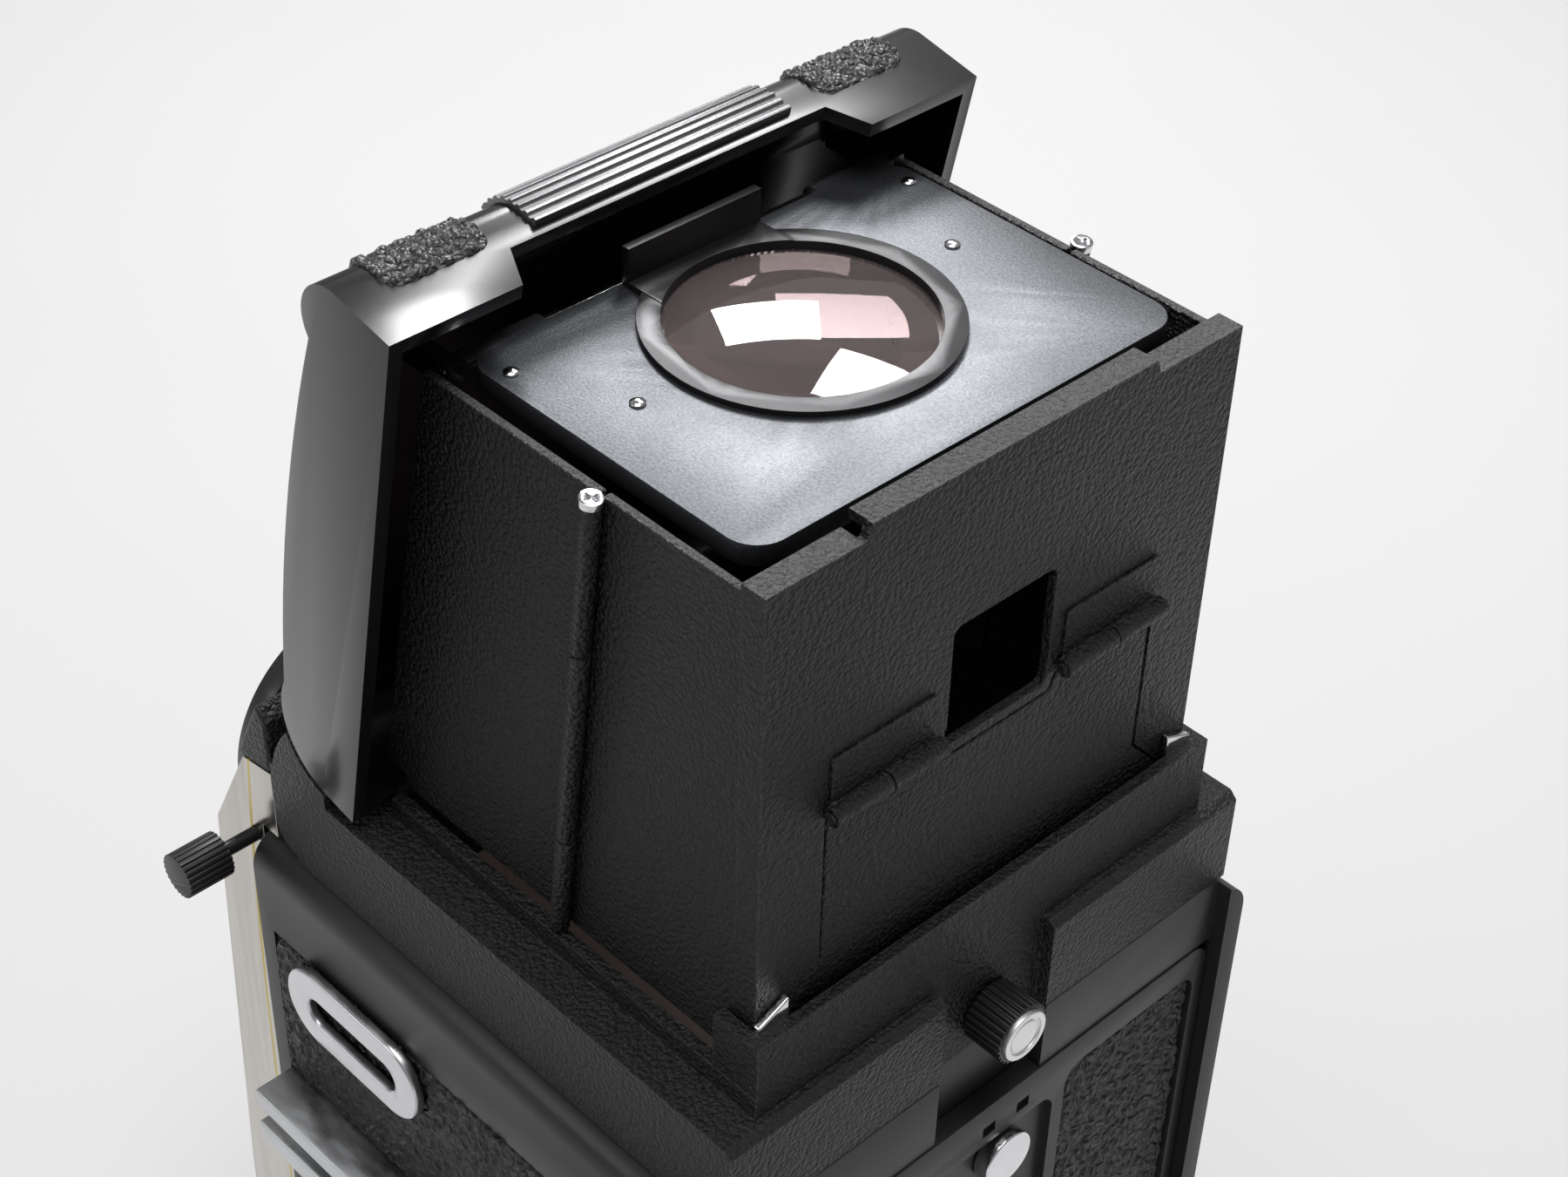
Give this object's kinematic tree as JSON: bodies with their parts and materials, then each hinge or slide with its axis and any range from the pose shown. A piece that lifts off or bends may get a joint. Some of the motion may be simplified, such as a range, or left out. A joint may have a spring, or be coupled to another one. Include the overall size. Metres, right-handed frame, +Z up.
{
  "type": "twin lens reflex camera",
  "caption": "Twin lens reflex roll film camera, waist level hood open with its magnifier in place, racked lens standard, hinged back, winding crank and tripod socket.",
  "frame": {"origin": "centre of the tripod socket's mouth, on the base", "axes": "+Z up, lenses look along -Y, back door at +Y, the user's left hand side of the camera at +X"},
  "size_m": [0.127, 0.135, 0.2333],
  "materials": {
    "casting_paint": "satin black stove paint on a die-cast light alloy",
    "crinkle_paint": "fine wrinkle black paint, grey where it is rubbed",
    "lid_enamel": "smooth semi-gloss black enamel",
    "plate_anodised": "satin near-black with a fine grain",
    "lens_black": "semi-gloss black",
    "leatherette": "coarse pebble grain, soft sheen",
    "black_knob": "satin, fine ribs",
    "inner_black": "dull black",
    "spool_plastic": "moulded, dull",
    "bellows_cloth": "pleated cloth",
    "bright_chrome": "polished",
    "satin_silver": "satin",
    "brushed_plate": "brushed upright, thin yellow line near the rear edge",
    "plain_steel": "machined",
    "clear_glass": "clear, polished",
    "coated_glass": "coated, bluish",
    "screen_glass": "ground",
    "mirror_glass": "front silvered"
  },
  "bodies": {
    "camera": {"body_casting": "casting_paint", "base_plate": "casting_paint", "tripod_bush": "plain_steel", "side_leathers": "leatherette", "strap_lugs": "bright_chrome", "accessory_shoe": "satin_silver", "film_gate": "inner_black", "film_rollers": "bright_chrome", "viewing_mirror": "mirror_glass", "focusing_screen": "screen_glass", "screen_frame": "inner_black", "hood_base": "crinkle_paint", "base_corner_clips": "bright_chrome", "hood_lid": "lid_enamel", "lid_grip_pads": "leatherette", "lid_ribbed_grip": "black_knob", "lid_front_leather": "leatherette", "rear_panel": "crinkle_paint", "rear_flap": "crinkle_paint", "rear_hinges": "crinkle_paint", "side_panels_rear": "crinkle_paint", "side_panels_front": "crinkle_paint", "side_hinge_rods": "crinkle_paint", "side_hinge_screws": "bright_chrome", "door_hinge_pin": "bright_chrome"},
    "magnifier": {"magnifier_plate": "plate_anodised", "magnifier_frame": "plate_anodised", "magnifier_lens": "clear_glass", "magnifier_rivets": "bright_chrome", "magnifier_hinge_pin": "bright_chrome"},
    "lock_knob": {"hood_lock_knob": "black_knob", "lock_knob_cap": "satin_silver"},
    "door": {"back_door": "casting_paint", "door_leather": "leatherette", "pressure_plate": "inner_black"},
    "catch": {"door_catch": "bright_chrome"},
    "standard": {"front_standard": "casting_paint", "standard_side_plates": "brushed_plate", "standard_cap": "crinkle_paint", "focus_racks": "plain_steel", "bellows": "bellows_cloth", "lens_board": "lens_black", "viewing_lens_barrel": "lens_black", "viewing_lens_glass": "coated_glass", "shutter_housing": "lens_black", "taking_lens_barrel": "lens_black", "taking_lens_glass": "coated_glass"},
    "speed": {"speed_ring": "satin_silver"},
    "aperture": {"aperture_lever": "bright_chrome"},
    "cocking": {"cocking_lever": "bright_chrome"},
    "scale": {"scale_knob": "black_knob"},
    "focus": {"focus_shaft": "plain_steel", "focus_knobs": "black_knob"},
    "crank": {"wind_crank": "satin_silver", "take_up_spool": "spool_plastic"},
    "grip": {"crank_grip": "black_knob"},
    "supply": {"supply_spool": "spool_plastic"},
    "upper_knob": {"spool_knob_upper": "satin_silver"},
    "lower_knob": {"spool_knob_lower": "satin_silver"},
    "button": {"shutter_button": "bright_chrome"}
  },
  "joints": [
    {"name": "magnifier_fold", "type": "hinge", "parent": "camera", "child": "magnifier", "pos_m": [0, -0.013, 0.2212], "axis": [-1, 0, 0], "range_deg": [0, 95]},
    {"name": "lock_knob_turn", "type": "hinge", "parent": "camera", "child": "lock_knob", "pos_m": [0, 0.044, 0.144], "axis": [0, 1, 0], "range_deg": [0, 90]},
    {"name": "door_swing", "type": "hinge", "parent": "camera", "child": "door", "pos_m": [0, 0.0412, 0.008], "axis": [-1, 0, 0], "range_deg": [0, 90]},
    {"name": "catch_slide", "type": "slide", "parent": "door", "child": "catch", "axis": [0, 0, -1], "range_m": [0, 0.003]},
    {"name": "focus_slide", "type": "slide", "parent": "camera", "child": "standard", "axis": [0, -1, 0], "range_m": [0, 0.05], "deforming": ["bellows"]},
    {"name": "focus_turn", "type": "hinge", "parent": "camera", "child": "focus", "pos_m": [0, -0.032, 0.018], "axis": [1, 0, 0], "range_deg": [0, 448]},
    {"name": "speed_turn", "type": "hinge", "parent": "standard", "child": "speed", "pos_m": [0, -0.075, 0.058], "axis": [0, -1, 0], "range_deg": [0, 240]},
    {"name": "aperture_turn", "type": "hinge", "parent": "standard", "child": "aperture", "pos_m": [0, -0.0665, 0.058], "axis": [0, 1, 0], "range_deg": [0, 60]},
    {"name": "cocking_turn", "type": "hinge", "parent": "standard", "child": "cocking", "pos_m": [0, -0.071, 0.058], "axis": [0, 1, 0], "range_deg": [0, 40]},
    {"name": "scale_turn", "type": "hinge", "parent": "standard", "child": "scale", "pos_m": [0.05, -0.0474, 0.1365], "axis": [1, 0, 0], "range_deg": [-150, 150]},
    {"name": "crank_turn", "type": "hinge", "parent": "camera", "child": "crank", "pos_m": [-0.05, 0.022, 0.099], "axis": [-1, 0, 0], "continuous": true},
    {"name": "grip_turn", "type": "hinge", "parent": "crank", "child": "grip", "pos_m": [-0.061, 0.022, 0.07], "axis": [-1, 0, 0], "continuous": true},
    {"name": "supply_turn", "type": "hinge", "parent": "camera", "child": "supply", "pos_m": [0, 0.022, 0.0195], "axis": [-1, 0, 0], "continuous": true},
    {"name": "upper_knob_pull", "type": "slide", "parent": "camera", "child": "upper_knob", "axis": [1, 0, 0], "range_m": [0, 0.005]},
    {"name": "lower_knob_pull", "type": "slide", "parent": "camera", "child": "lower_knob", "axis": [1, 0, 0], "range_m": [0, 0.005]},
    {"name": "button_press", "type": "slide", "parent": "camera", "child": "button", "axis": [1, 0, 0], "range_m": [0, 0.0025]}
  ],
  "couplings": [
    {"joint": "focus_turn", "follows": "focus_slide", "rad_per_m": 156.25}
  ]
}
